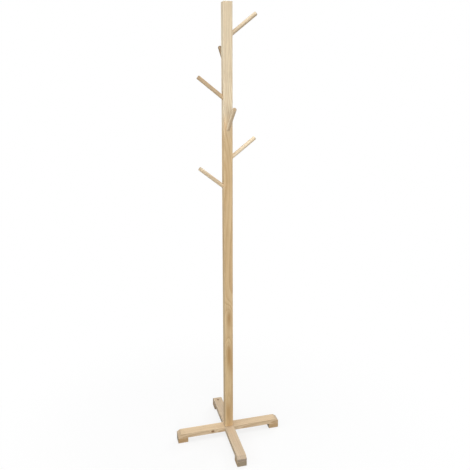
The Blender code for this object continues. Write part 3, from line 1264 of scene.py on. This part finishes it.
@dataclass
class Base:
    """The two beams, lapped where they cross, and the four blocks under their ends."""

    effects: Effects
    beam_arris: float = 0.0010
    block_arris: float = 0.0008
    chamfer_length: float = 0.014
    chamfer_drop: float = 0.009
    block_piths: dict[Side, tuple[float, float]] = field(
        default_factory=lambda: {
            Side.RIGHT: (0.018, 0.015),
            Side.BACK: (0.004, -0.027),
            Side.LEFT: (0.010, -0.022),
            Side.FRONT: (-0.012, 0.024),
        }
    )

    @staticmethod
    def beams() -> tuple[Beam, Beam]:
        """Plans the two beams.

        Returns:
            The plans.
        """
        left_right, front_back = "base_beam_left_right", "base_beam_front_back"
        return (
            Beam(
                node=left_right,
                other=front_back,
                notch_on_top=True,
                along=Vector((1.0, 0.0, 0.0)),
                ends=(Side.LEFT, Side.RIGHT),
                pith=(0.030, 0.046),
                early=srgb(235, 213, 182),
                deep=srgb(226, 199, 160),
                knot=Mark((-0.074, -0.0195, 0.034), (0.1, 1.0, 0.1), 0.0042, 1.5, 1.5, 0.8),
            ),
            Beam(
                node=front_back,
                other=left_right,
                notch_on_top=False,
                along=Vector((0.0, 1.0, 0.0)),
                ends=(Side.FRONT, Side.BACK),
                pith=(0.052, 0.020),
                early=srgb(217, 200, 177),
                deep=srgb(203, 184, 158),
                knot=Mark((-0.001, 0.193, 0.045), (0.05, 0.1, 1.0), 0.0038, 1.5, 1.5, 0.8),
            ),
        )

    def beam(self, plan: Beam) -> bpy.types.Object:
        """Planes one beam, saws its sloping ends, notches it and bores it.

        Args:
            plan: The beam's plan.

        Returns:
            The beam.
        """
        low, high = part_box(plan.node)
        beam = start_box(plan.node + "_planed", low, high)
        half = abs(high.dot(plan.along))
        for end in (-1, 1):
            corner = plan.along * (end * half) + UP * (high.z - self.chamfer_drop)
            bisect_off(beam, corner, plan.along * (end * self.chamfer_drop) + UP * self.chamfer_length)
        round_off(beam, self.beam_arris, 4, lambda edge: edge.is_manifold and edge.calc_face_angle() > 0.2)
        self.notch(beam, plan)
        bore(beam, BOLT_RADIUS, 0.0, CLEAR_OF_BEAMS, 48)
        bore_dowels(beam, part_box("locating_dowel_a")[0].z - FIT_GAP, CLEAR_OF_BEAMS)
        for side in plan.ends:
            for node in side.screws:
                self.bore_screw(beam, node)
        smooth_faces(beam)
        return beam

    @staticmethod
    def notch(beam: bpy.types.Object, plan: Beam) -> None:
        """Cuts the room for the other beam, which takes up half of the height.

        Args:
            beam: The beam that is notched.
            plan: The beam's plan.
        """
        low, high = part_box(plan.other)
        lap = (low.z + high.z) / 2
        room_low = Vector((low.x, low.y, low.z - OVERRUN))
        room_high = Vector((high.x, high.y, high.z + OVERRUN))
        if plan.notch_on_top:
            room_low.z = lap - FIT_GAP / 2
        else:
            room_high.z = lap + FIT_GAP / 2
        across = 0 if high.x < high.y else 1
        room_low[across] -= FIT_GAP
        room_high[across] += FIT_GAP
        combine(beam, start_box("room", room_low, room_high), Cut.AWAY)

    @staticmethod
    def bore_screw(wood: bpy.types.Object, node: str) -> None:
        """Bores a piece for one screw.

        Args:
            wood: The piece.
            node: The screw's solid.
        """
        low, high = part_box(node)
        middle = (low + high) / 2
        bore(wood, SCREW_RADIUS, low.z - OVERRUN, high.z + FIT_GAP, 32, middle.x, middle.y)

    @staticmethod
    def sink_screw(wood: bpy.types.Object, node: str) -> None:
        """Cuts the countersink for a screw's head, a fit's gap larger all round.

        Args:
            wood: The piece that the head sits in.
            node: The screw's solid.
        """
        low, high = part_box(node)
        middle = (low + high) / 2
        slope = (SCREW_HEAD_RADIUS - SCREW_RADIUS) / SCREW_HEAD_DEPTH
        wide = SCREW_HEAD_RADIUS + FIT_GAP + slope * (FIT_GAP + SINK_OVERRUN)
        narrow = SCREW_RADIUS + slope * FIT_GAP
        sink = start_cone("sink", wide, narrow, low.z - SINK_OVERRUN, low.z + SCREW_HEAD_DEPTH + FIT_GAP)
        combine(wood, stand_on(sink, Matrix.Translation((middle.x, middle.y, 0.0))), Cut.AWAY)

    def block(self, side: Side) -> bpy.types.Object:
        """Saws one foot block and bores it for its screws.

        Args:
            side: The side whose beam end it carries.

        Returns:
            The block.
        """
        low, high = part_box(f"foot_block_{side.word}")
        block = start_box(f"foot_block_{side.word}_planed", low, high)
        round_off(block, self.block_arris, 4, every_edge)
        for node in side.screws:
            self.bore_screw(block, node)
            self.sink_screw(block, node)
        smooth_faces(block)
        return block

    def beam_finish(self, plan: Beam) -> bpy.types.Material:
        """One beam's timber.

        Args:
            plan: The beam's plan.

        Returns:
            The material.
        """
        timber = Timber(
            name=plan.node.replace("base_beam", "beam_wood"),
            grain=plan.along,
            pith=plan.pith,
            shift=14.0,
            lean=1.5,
            ring_pitch=0.0036,
            early=plan.early,
            deep=plan.deep,
            late=srgb(186, 150, 106),
            honey=srgb(204, 170, 126),
            heart=0.45,
            end_tint=(0.63, 0.65, 0.71),
            knots=(plan.knot,),
            solid=plan.node,
        )
        return timber.material(self.effects)

    def block_finish(self, side: Side) -> bpy.types.Material:
        """One foot block's timber, deeper in colour than the beams, partly its own wood and partly painted shade
        low by the floor, with cooler end grain.

        Args:
            side: The block's side.

        Returns:
            The material.
        """
        low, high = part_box(f"foot_block_{side.word}")
        timber = Timber(
            name=f"foot_wood_{side.word}",
            grain=side.outward,
            pith=self.block_piths[side],
            middle=(low + high) / 2,
            lean=2.0,
            ring_pitch=0.0030,
            wander=0.006,
            # Deeper than the beams, partly as the wood's own colour and partly as painted shade under the beam
            # ends near the floor.
            early=srgb(212, 183, 142),
            deep=srgb(200, 169, 126),
            late=srgb(172, 134, 90),
            honey=srgb(188, 150, 104),
            end_tint=(0.64, 0.75, 0.96),
            heart=0.6,
            contrast=0.9,
            solid=f"foot_block_{side.word}",
        )
        return timber.material(self.effects)

    def make(self) -> None:
        """Builds the beams and blocks and puts them on the rack."""
        for plan in self.beams():
            install(self.beam(plan), plan.node, self.beam_finish(plan))
        for side in Side:
            install(self.block(side), f"foot_block_{side.word}", self.block_finish(side))


# ------------------------------------------------------------------------------------- the fixings
@dataclass(frozen=True)
class Thread:
    """A screw thread: the radius at its roots and at its crests, and its rise in one turn."""

    core: float
    crest: float
    pitch: float

    def wind(self, name: str, bottom: float, top: float) -> bpy.types.Object:
        """Winds the thread on the Z axis, closed at both ends.

        Args:
            name: The threaded rod's name.
            bottom: The height of its lower end.
            top: The height of its upper end.

        Returns:
            The threaded rod.
        """
        deselect_all()
        bpy.ops.mesh.primitive_plane_add(size=math.sqrt(2.0))
        tooth = bpy.context.active_object
        tooth.name = name
        tooth.rotation_euler = (0.0, 0.0, math.radians(45.0))
        fix_place(tooth)
        tooth.rotation_euler = (math.radians(90.0), 0.0, 0.0)
        fix_place(tooth)
        tooth.scale = (self.crest - self.core, 1.0, self.pitch / 2)
        tooth.location = (self.core, 0.0, bottom - self.pitch)
        fix_place(tooth)
        with editing(tooth):
            pick(tooth, Kind.VERTS, lambda vert: vert.co.x < self.core - TOUCH)
            bpy.ops.mesh.delete(type="VERT")
        winding = tooth.modifiers.new("winding", "SCREW")
        winding.screw_offset = self.pitch
        winding.iterations = math.ceil((top - bottom) / self.pitch) + 3
        winding.steps = winding.render_steps = 24
        apply_modifier(tooth, winding)
        with editing(tooth):
            bpy.ops.mesh.select_all(action="SELECT")
            bpy.ops.mesh.remove_doubles(threshold=0.000005)
            bpy.ops.mesh.normals_make_consistent(inside=False)
        bisect_off(tooth, UP * top, UP)
        bisect_off(tooth, UP * bottom, -UP)
        with editing(tooth):
            bpy.ops.mesh.select_all(action="SELECT")
            bpy.ops.mesh.normals_make_consistent(inside=False)
        return tooth


@dataclass
class Fixings:
    """The bolt, washer, insert, dowels, screws and felt pads."""

    effects: Effects
    zinc: Metal = Metal("zinc_steel", (0.66, 0.67, 0.68), (0.50, 0.50, 0.49), 0.27)
    brass: Metal = Metal("brass", (0.80, 0.60, 0.28), (0.62, 0.44, 0.19), 0.26)
    bolt_thread: Thread = Thread(BOLT_RADIUS - 0.00062, BOLT_RADIUS, 0.00125)
    bolt_head_radius: float = 0.007
    bolt_dome: float = 0.0030
    head_ease: float = 0.0003
    bolt_neck: float = 0.016
    bolt_tip: float = 0.0006
    bolt_tip_radius: float = 0.0032
    key_width: float = 0.005
    key_depth: float = 0.0026
    washer_round: float = 0.00035
    washer_burr: float = 0.0001
    insert_thread: Thread = Thread(0.0051, INSERT_RADIUS, 0.0025)
    insert_collar: float = 0.0016
    collar_overlap: float = 0.0001
    dowel_chamfer: float = 0.0005
    flute_depth: float = 0.10
    screw_thread: Thread = Thread(0.0013, SCREW_RADIUS, 0.0018)
    screw_head_ease: float = 0.0002
    screw_head_foot: float = 0.0019
    screw_neck: float = 0.010
    screw_neck_radius: float = 0.0017
    screw_point: float = 0.004
    screw_taper: float = 0.84
    cross_reach: float = 0.0022
    cross_half_width: float = 0.00045
    cross_depth: float = 0.0015
    pad_inset: float = 0.0004
    pad_round: float = 0.00045
    pad_bulge: float = 1.022

    def bolt(self) -> bpy.types.Object:
        """Makes the button-head bolt: a domed head with a hexagon socket, a plain neck and a thread.

        Returns:
            The bolt.
        """
        low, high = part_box("centre_bolt")
        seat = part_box("centre_washer")[0].z - FIT_GAP
        neck_top = seat + self.bolt_neck
        thread_top = high.z - self.bolt_tip
        bolt = start_rod("centre_bolt_threaded", self.bolt_head_radius, low.z, seat, 64)
        round_off(bolt, self.bolt_dome, 8, ring_at(low.z))
        round_off(bolt, self.head_ease, 2, ring_at(seat))
        combine(bolt, start_rod("neck", BOLT_RADIUS, seat - OVERLAP * 2, neck_top, 48), Cut.ON)
        combine(bolt, self.bolt_thread.wind("thread", neck_top - OVERLAP, thread_top), Cut.ON)
        combine(bolt, start_rod("tip", self.bolt_tip_radius, thread_top - OVERLAP, high.z, 48), Cut.ON)
        key = start_rod("key", self.key_width / math.sqrt(3.0), low.z - OVERRUN, low.z + self.key_depth, 6)
        combine(bolt, key, Cut.AWAY)
        smooth_faces(bolt, 35.0)
        return bolt

    def washer(self) -> bpy.types.Object:
        """Stamps the washer, which has a rounded face and a crisp one.

        Returns:
            The washer.
        """
        low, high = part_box("centre_washer")
        washer = start_rod("centre_washer_stamped", (high.x - low.x) / 2, low.z, high.z, 96)
        bore(washer, BOLT_RADIUS, low.z - OVERRUN, high.z + OVERRUN, 64)
        round_off(washer, self.washer_round, 4, ring_at(low.z))
        round_off(washer, self.washer_burr, 1, ring_at(high.z))
        smooth_faces(washer)
        return washer

    def insert(self) -> bpy.types.Object:
        """Turns the brass insert, with a coarse thread outside and a plain collar at its mouth.

        Returns:
            The insert.
        """
        low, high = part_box("threaded_insert")
        collar_top = low.z + self.insert_collar
        insert = self.insert_thread.wind("threaded_insert_cut", collar_top - self.collar_overlap, high.z)
        combine(insert, start_rod("collar", INSERT_RADIUS, low.z, collar_top, 64), Cut.ON)
        bore(insert, BOLT_RADIUS, low.z - OVERRUN, high.z + OVERRUN, 48)
        smooth_faces(insert, 35.0)
        return insert

    def dowel(self, node: str) -> bpy.types.Object:
        """Turns one fluted dowel with chamfered ends.

        Args:
            node: The dowel's solid.

        Returns:
            The dowel.
        """
        low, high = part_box(node)
        middle = (low + high) / 2
        bottom, top = low.z + self.dowel_chamfer * 0.8, high.z - self.dowel_chamfer * 0.8
        narrow = 1.0 - self.flute_depth
        dowel = start_rod(f"{node}_fluted", DOWEL_RADIUS, low.z, high.z, 48)
        round_off(dowel, self.dowel_chamfer, 2, is_level)
        with editing(dowel):
            pick(dowel, Kind.VERTS, lambda vert: bottom < vert.co.z < top and self.in_flute(vert.co))
            bpy.ops.transform.resize(value=(narrow, narrow, 1.0), center_override=(0.0, 0.0, middle.z))
        smooth_faces(dowel, 25.0)
        return stand_on(dowel, Matrix.Translation((middle.x, middle.y, 0.0)))

    @staticmethod
    def in_flute(point: Vector) -> bool:
        """Says whether a point on the dowel's side lies in one of its twelve flutes."""
        step = math.degrees(math.atan2(point.y, point.x)) % 30.0
        return 11.0 < step < 19.0

    def screw(self) -> bpy.types.Object:
        """Makes the pattern of the countersunk wood screws, on the Z axis with its point up.

        Returns:
            The screw.
        """
        low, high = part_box("foot_screw_left_inner")
        neck_top = low.z + self.screw_neck
        head_top = low.z + SCREW_HEAD_DEPTH
        screw = start_cone("screw", SCREW_HEAD_RADIUS, self.screw_head_foot, low.z, head_top)
        round_off(screw, self.screw_head_ease, 2, ring_at(low.z))
        combine(screw, start_rod("neck", self.screw_neck_radius, head_top - OVERLAP, neck_top, 32), Cut.ON)
        thread = self.screw_thread.wind("thread", neck_top - OVERLAP, high.z)
        with editing(thread):
            for step in range(8):
                start = high.z - self.screw_point * (1.0 - step / 8)
                pick(thread, Kind.VERTS, lambda vert: vert.co.z > start)
                narrower = (self.screw_taper, self.screw_taper, 1.0)
                bpy.ops.transform.resize(value=narrower, center_override=(0.0, 0.0, start))
        combine(screw, thread, Cut.ON)
        for turn in (0.0, 90.0):
            self.drive(screw, low.z, turn)
        smooth_faces(screw, 35.0)
        return screw

    def drive(self, screw: bpy.types.Object, bottom: float, turn: float) -> None:
        """Sinks one bar of the driver's cross into a screw's head, narrower towards its floor.

        Args:
            screw: The screw.
            bottom: The height of its head's flat.
            turn: The bar's turn about Z in degrees.
        """
        corner = Vector((self.cross_reach, self.cross_half_width, 0.0))
        bar = start_box("bar", UP * (bottom - SINK_OVERRUN) - corner, UP * (bottom + self.cross_depth) + corner)
        with editing(bar):
            pick(bar, Kind.FACES, lambda face: face.normal.z > 0.9)
            bpy.ops.transform.resize(value=(0.5, 0.55, 1.0), center_override=(0.0, 0.0, bottom))
        combine(screw, stand_on(bar, Matrix.Rotation(math.radians(turn), 4, "Z")), Cut.AWAY)

    def pad(self, side: Side) -> bpy.types.Object:
        """Cuts one felt pad, pressed a little out at its edge by the rack's weight.

        Args:
            side: The side whose block it is stuck to.

        Returns:
            The pad.
        """
        low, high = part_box(f"felt_pad_{side.word}")
        middle = (low + high) / 2
        height = high.z - low.z
        pad = start_rod(f"felt_pad_{side.word}_cut", (high.x - low.x) / 2 - self.pad_inset, 0.0, height, 96)
        round_off(pad, self.pad_round, 3, is_level)
        with editing(pad):
            pick(pad, Kind.FACES, lambda face: abs(face.normal.z) < 0.2)
            bpy.ops.mesh.subdivide(number_cuts=2)
            pick(pad, Kind.VERTS, lambda vert: abs(vert.co.z - height / 2) < height * 0.3)
            wider = (self.pad_bulge, self.pad_bulge, 1.0)
            bpy.ops.transform.resize(value=wider, center_override=(0.0, 0.0, 0.0))
            for width in (0.0012, 0.00225, 0.003, 0.003):
                pick(pad, Kind.FACES, lambda face: len(face.verts) > 32)
                bpy.ops.mesh.inset(thickness=width, use_individual=True)
        clouds = bpy.data.textures.new("felt_lumps", "CLOUDS")
        clouds.noise_scale = 0.0014
        lumps = pad.modifiers.new("lumps", "DISPLACE")
        lumps.texture = clouds
        lumps.strength = 0.00018
        lumps.mid_level = 1.0
        apply_modifier(pad, lumps)
        smooth_faces(pad, 60.0)
        return stand_on(pad, Matrix.Translation((middle.x, middle.y, low.z)))

    def make(self) -> None:
        """Builds every fixing and puts it on the rack."""
        steel = self.zinc.material(self.effects)
        yellow = self.brass.material(self.effects)
        install(self.bolt(), "centre_bolt", steel)
        install(self.washer(), "centre_washer", steel)
        install(self.insert(), "threaded_insert", yellow)
        beech = Timber("dowel_wood", UP.copy(), (0.02, 0.03), 0.0019, srgb(226, 198, 160), contrast=0.5)
        pale = beech.material(self.effects)
        for node in ("locating_dowel_a", "locating_dowel_b"):
            install(self.dowel(node), node, pale)
        pattern = self.screw()
        for side in Side:
            for node, twist in zip(side.screws, (23.0, 61.0)):
                low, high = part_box(node)
                middle = (low + high) / 2
                turn = Matrix.Rotation(math.radians(side.value + twist), 4, "Z")
                place = Matrix.Translation((middle.x, middle.y, 0.0)) @ turn
                install(stand_on(copy_of(pattern, f"{node}_threaded"), place), node, steel)
        bpy.data.objects.remove(pattern, do_unlink=True)
        wool = Felt().material()
        for side in Side:
            pad = self.pad(side)
            install(pad, f"felt_pad_{side.word}", wool)


# ------------------------------------------------------------------------------------- the studio
@dataclass(frozen=True)
class Lamp:
    """A soft square lamp: where it hangs and points, its side, watts and tint, and how wide it throws."""

    name: str
    place: Point
    aim: Point
    size: float
    power: float
    tint: Colour
    spread: float = 180.0

    def hang(self) -> None:
        """Puts the lamp in the scene, out of the camera's sight."""
        data = bpy.data.lights.new(self.name, "AREA")
        data.spread = math.radians(self.spread)
        data.shape = "SQUARE"
        data.size = self.size
        data.energy = self.power
        data.color = self.tint
        lamp = bpy.data.objects.new(self.name, data)
        lamp.location = self.place
        lamp.rotation_euler = (Vector(self.aim) - Vector(self.place)).to_track_quat("-Z", "Y").to_euler()
        lamp.visible_camera = False
        bpy.context.scene.collection.objects.link(lamp)


@dataclass
class Studio:
    """A plain pale floor, a pale surround, soft lamps and the camera."""

    eye: Point = (-0.4895, -1.9459, 1.4725)
    pitch: float = 15.727
    yaw: float = 14.958
    lens: float = 40.39
    floor_radius: float = 40.0
    backdrop: Colour = (1.0, 1.0, 1.0)
    lamps: tuple[Lamp, ...] = (
        Lamp("overhead", (-0.4, -0.6, 4.7), (0.0, 0.0, 0.6), 2.6, 78.0, (1.0, 0.985, 0.96)),
        Lamp("front", (-0.5, -3.8, 1.3), (0.0, 0.0, 0.6), 1.8, 66.0, (1.0, 0.99, 0.97)),
        Lamp("side", (-2.2, -0.2, 1.7), (0.0, 0.0, 1.15), 1.0, 4.6, (0.88, 0.95, 1.0), 75.0),
        Lamp("back", (2.6, 2.4, 2.3), (0.0, 0.0, 0.8), 1.6, 40.0, (1.0, 0.985, 0.96)),
    )

    def camera(self) -> None:
        """Sets the camera at head height, in front of the rack and a little to its left."""
        data = bpy.data.cameras.new("camera")
        data.lens = self.lens
        data.sensor_width = 36.0
        data.sensor_fit = "HORIZONTAL"
        data.clip_start = 0.01
        data.clip_end = 200.0
        camera = bpy.data.objects.new("camera", data)
        camera.location = self.eye
        camera.rotation_euler = (math.radians(90.0 - self.pitch), 0.0, math.radians(-self.yaw))
        bpy.context.scene.collection.objects.link(camera)
        bpy.context.scene.camera = camera

    def floor(self) -> None:
        """Lays the floor, which fades into the surround and is clear from below; the surround gives its bounce."""
        deselect_all()
        bpy.ops.mesh.primitive_circle_add(vertices=96, radius=self.floor_radius, fill_type="NGON")
        floor = bpy.context.active_object
        floor.name = "studio_floor"
        paint, wiring, shader = start_finish("floor_paint")
        place = wiring.out(wiring.add("TexCoord"), "Object")
        mottle = wiring.noise(place, (3.0, 3.0, 3.0), 3.0)
        wiring.feed(shader.inputs["Base Color"], wiring.mix(mottle, (0.84, 0.84, 0.84), (0.88, 0.88, 0.88)))
        shader.inputs["Roughness"].default_value = 0.9
        shader.inputs["Specular IOR Level"].default_value = 0.0
        far = wiring.remap(place.length, 0.2, 1.1, 0.78, 1.0)
        glow = wiring.put("Emission", {"Color": self.backdrop})
        paler = wiring.put("MixShader", {0: far, 1: wiring.out(shader), 2: glow})
        below = wiring.out(wiring.add("NewGeometry"), "Backfacing")
        clear = wiring.out(wiring.add("BsdfTransparent"))
        output = paint.node_tree.nodes["Material Output"]
        wiring.feed(output.inputs["Surface"], wiring.put("MixShader", {0: below, 1: paler, 2: clear}))
        floor.data.materials.append(paint)
        floor.visible_diffuse = False
        floor.visible_glossy = False
        floor.visible_transmission = False
        floor.visible_shadow = False

    def surround(self) -> None:
        """Fills the room with even pale light, a little brighter and cooler from above."""
        world = bpy.data.worlds.new("surround")
        bpy.context.scene.world = world
        world.use_nodes = True
        wiring = Wiring(world.node_tree)
        sky = world.node_tree.nodes["Background"]
        seen = wiring.out(wiring.add("LightPath"), "Is Camera Ray")
        direction = wiring.out(wiring.add("TexCoord"), "Generated")
        upward = wiring.remap(wiring.put("SeparateXYZ", {0: direction}, "Z"), -0.6, 0.7)
        light = wiring.mix(upward, (0.315, 0.31, 0.305), (0.46, 0.47, 0.48))
        wiring.feed(sky.inputs["Color"], wiring.mix(seen, light, self.backdrop))
        sky.inputs["Strength"].default_value = 1.0

    def make(self) -> None:
        """Sets up the whole studio."""
        self.camera()
        self.floor()
        self.surround()
        for lamp in self.lamps:
            lamp.hang()
        bpy.context.scene.view_settings.view_transform = "Standard"
        LOG.info("studio: camera, floor, surround and %d lamps", len(self.lamps))


def main() -> None:
    """Sets up the studio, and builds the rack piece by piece."""
    logging.basicConfig(level=logging.INFO, format="%(message)s")
    Studio().make()
    effects = Effects()
    pegs = Pegs(effects)
    seats = pegs.seats()
    Post(effects, seats).make()
    pegs.make(seats)
    Base(effects).make()
    Fixings(effects).make()


if __name__ == "__main__":
    main()
